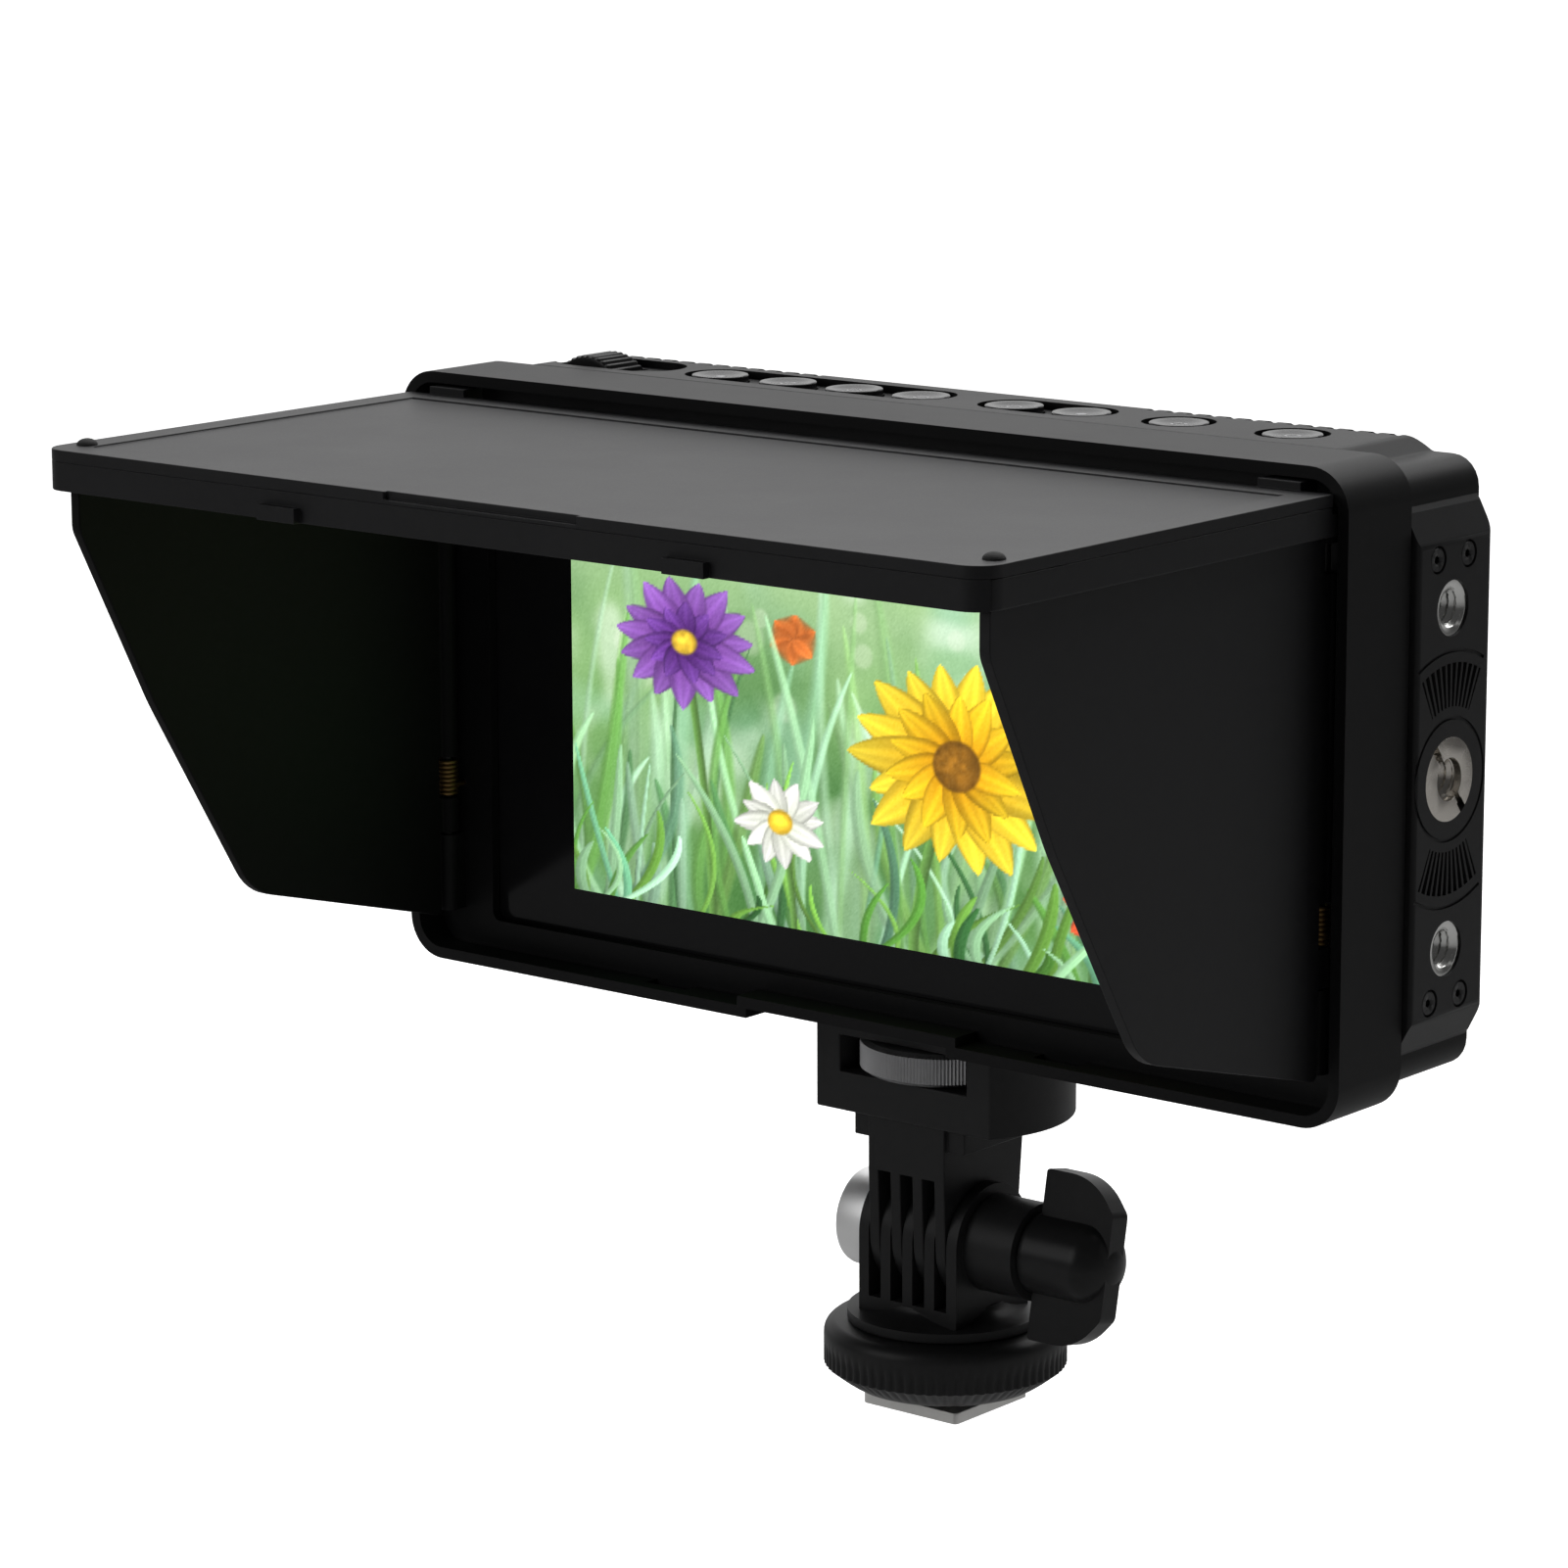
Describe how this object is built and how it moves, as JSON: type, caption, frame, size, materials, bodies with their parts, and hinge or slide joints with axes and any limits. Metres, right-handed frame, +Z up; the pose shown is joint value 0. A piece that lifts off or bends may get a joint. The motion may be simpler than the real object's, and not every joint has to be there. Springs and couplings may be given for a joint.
{
  "type": "camera field monitor with sun hood",
  "caption": "Flat field monitor with a folding three-flap sun hood, a row of top buttons and a tilting hot-shoe mount with knob and lock wheel.",
  "frame": {"origin": "centre of the shoe foot's bottom face", "axes": "+X to the monitor's right seen from the front, +Y to its back, +Z up; the screen faces -Y"},
  "size_m": [0.1824, 0.1275, 0.1608],
  "materials": {
    "black_plastic": "satin",
    "shell_plastic": "fine texture, satin",
    "hood_plastic": "satin",
    "flap_plastic": "satin",
    "pad_plastic": "fine matte",
    "button_plastic": "satin sheen",
    "knob_plastic": "semi-gloss",
    "mount_plastic": "satin",
    "wheel_aluminium": "fine knurl, dark anodised",
    "steel": "machined",
    "dark_screw": "black oxide",
    "nickel": "warm nickel plate",
    "zinc": "bright thread",
    "spring_brass": "drawn wire",
    "contact_gold": "gold plate",
    "rubber": "matte",
    "glass": "anti-glare",
    "lcd": "display layer",
    "board_green": "solder mask"
  },
  "bodies": {
    "base": {"shoe_foot": "steel", "tilt_base": "mount_plastic", "cap_nut": "nickel"},
    "lock_wheel": {"lock_wheel": "mount_plastic"},
    "knob": {"tilt_bolt": "steel", "tilt_knob": "knob_plastic"},
    "monitor": {"mount_arm": "mount_plastic", "mount_block": "mount_plastic", "mount_pad": "rubber", "arm_screws": "dark_screw", "front_shell": "black_plastic", "rear_shell": "shell_plastic", "shell_screws": "dark_screw", "screen_glass": "glass", "lcd_panel": "lcd", "main_board": "board_green", "board_screws": "steel", "key_board": "board_green", "dial_axle": "steel", "bottom_bush": "nickel", "side_bush": "nickel", "side_pad_right": "pad_plastic", "side_pad_left": "pad_plastic", "thread_inserts": "zinc", "pad_screws": "dark_screw", "hdmi_input": "steel", "hdmi_output": "steel", "usb_port": "steel", "headphone_jack": "black_plastic", "battery_plate": "shell_plastic", "plate_screws": "steel", "battery_contacts": "contact_gold", "hood_frame": "hood_plastic", "top_hinge_pins": "steel", "side_hinge_pins": "steel", "hinge_springs": "spring_brass"},
    "thumb_screw": {"thumb_wheel": "wheel_aluminium", "mount_screw": "steel"},
    "button_1": {"button_1": "button_plastic"},
    "button_2": {"button_2": "button_plastic"},
    "button_3": {"button_3": "button_plastic"},
    "button_4": {"button_4": "button_plastic"},
    "button_5": {"button_5": "button_plastic"},
    "button_6": {"button_6": "button_plastic"},
    "button_7": {"button_7": "button_plastic"},
    "button_8": {"button_8": "button_plastic"},
    "menu_dial": {"menu_dial": "knob_plastic"},
    "battery_latch": {"battery_latch": "black_plastic"},
    "top_flap": {"top_flap": "flap_plastic", "flap_front": "flap_plastic", "flap_cheeks": "flap_plastic", "flap_bumpers": "rubber"},
    "side_flap_right": {"side_flap_right": "flap_plastic"},
    "side_flap_left": {"side_flap_left": "flap_plastic"}
  },
  "joints": [
    {"name": "tilt", "type": "hinge", "parent": "base", "child": "monitor", "pos_m": [0, -0.0005, 0.0278], "axis": [1, 0, 0], "range_deg": [-85, 85]},
    {"name": "lock_wheel_turn", "type": "hinge", "parent": "base", "child": "lock_wheel", "pos_m": [0, 0, 0.00865], "axis": [0, 0, 1], "continuous": true},
    {"name": "knob_turn", "type": "hinge", "parent": "base", "child": "knob", "pos_m": [0.0276, -0.0005, 0.0278], "axis": [1, 0, 0], "continuous": true},
    {"name": "thumb_screw_turn", "type": "hinge", "parent": "monitor", "child": "thumb_screw", "pos_m": [0, 0, 0.0568], "axis": [0, 0, 1], "continuous": true},
    {"name": "button_1_press", "type": "slide", "parent": "monitor", "child": "button_1", "axis": [0, 0, -1], "range_m": [0, 0.0006], "stiffness_N_per_m": 500, "springref_m": -0.002},
    {"name": "button_2_press", "type": "slide", "parent": "monitor", "child": "button_2", "axis": [0, 0, -1], "range_m": [0, 0.0006], "stiffness_N_per_m": 500, "springref_m": -0.002},
    {"name": "button_3_press", "type": "slide", "parent": "monitor", "child": "button_3", "axis": [0, 0, -1], "range_m": [0, 0.0006], "stiffness_N_per_m": 500, "springref_m": -0.002},
    {"name": "button_4_press", "type": "slide", "parent": "monitor", "child": "button_4", "axis": [0, 0, -1], "range_m": [0, 0.0006], "stiffness_N_per_m": 500, "springref_m": -0.002},
    {"name": "button_5_press", "type": "slide", "parent": "monitor", "child": "button_5", "axis": [0, 0, -1], "range_m": [0, 0.0006], "stiffness_N_per_m": 500, "springref_m": -0.002},
    {"name": "button_6_press", "type": "slide", "parent": "monitor", "child": "button_6", "axis": [0, 0, -1], "range_m": [0, 0.0006], "stiffness_N_per_m": 500, "springref_m": -0.002},
    {"name": "button_7_press", "type": "slide", "parent": "monitor", "child": "button_7", "axis": [0, 0, -1], "range_m": [0, 0.0006], "stiffness_N_per_m": 500, "springref_m": -0.002},
    {"name": "button_8_press", "type": "slide", "parent": "monitor", "child": "button_8", "axis": [0, 0, -1], "range_m": [0, 0.0006], "stiffness_N_per_m": 500, "springref_m": -0.002},
    {"name": "menu_dial_turn", "type": "hinge", "parent": "monitor", "child": "menu_dial", "pos_m": [-0.07, 0, 0.1528], "axis": [0, 1, 0], "continuous": true},
    {"name": "battery_latch_press", "type": "slide", "parent": "monitor", "child": "battery_latch", "axis": [0, -1, 0], "range_m": [0, 0.0012], "stiffness_N_per_m": 500, "springref_m": -0.002},
    {"name": "top_flap_fold", "type": "hinge", "parent": "monitor", "child": "top_flap", "pos_m": [0, -0.022, 0.1515], "axis": [1, 0, 0], "range_deg": [0, 2.5], "stiffness_Nm_per_rad": 0.03, "springref_deg": -68.75},
    {"name": "side_flap_right_fold", "type": "hinge", "parent": "monitor", "child": "side_flap_right", "pos_m": [0.0842, -0.0224, 0.1117], "axis": [0, 0, -1], "range_deg": [0, 90], "stiffness_Nm_per_rad": 0.01, "springref_deg": -45.84},
    {"name": "side_flap_left_fold", "type": "hinge", "parent": "monitor", "child": "side_flap_left", "pos_m": [-0.0842, -0.0224, 0.1117], "axis": [0, 0, 1], "range_deg": [0, 90], "stiffness_Nm_per_rad": 0.01, "springref_deg": -45.84}
  ]
}
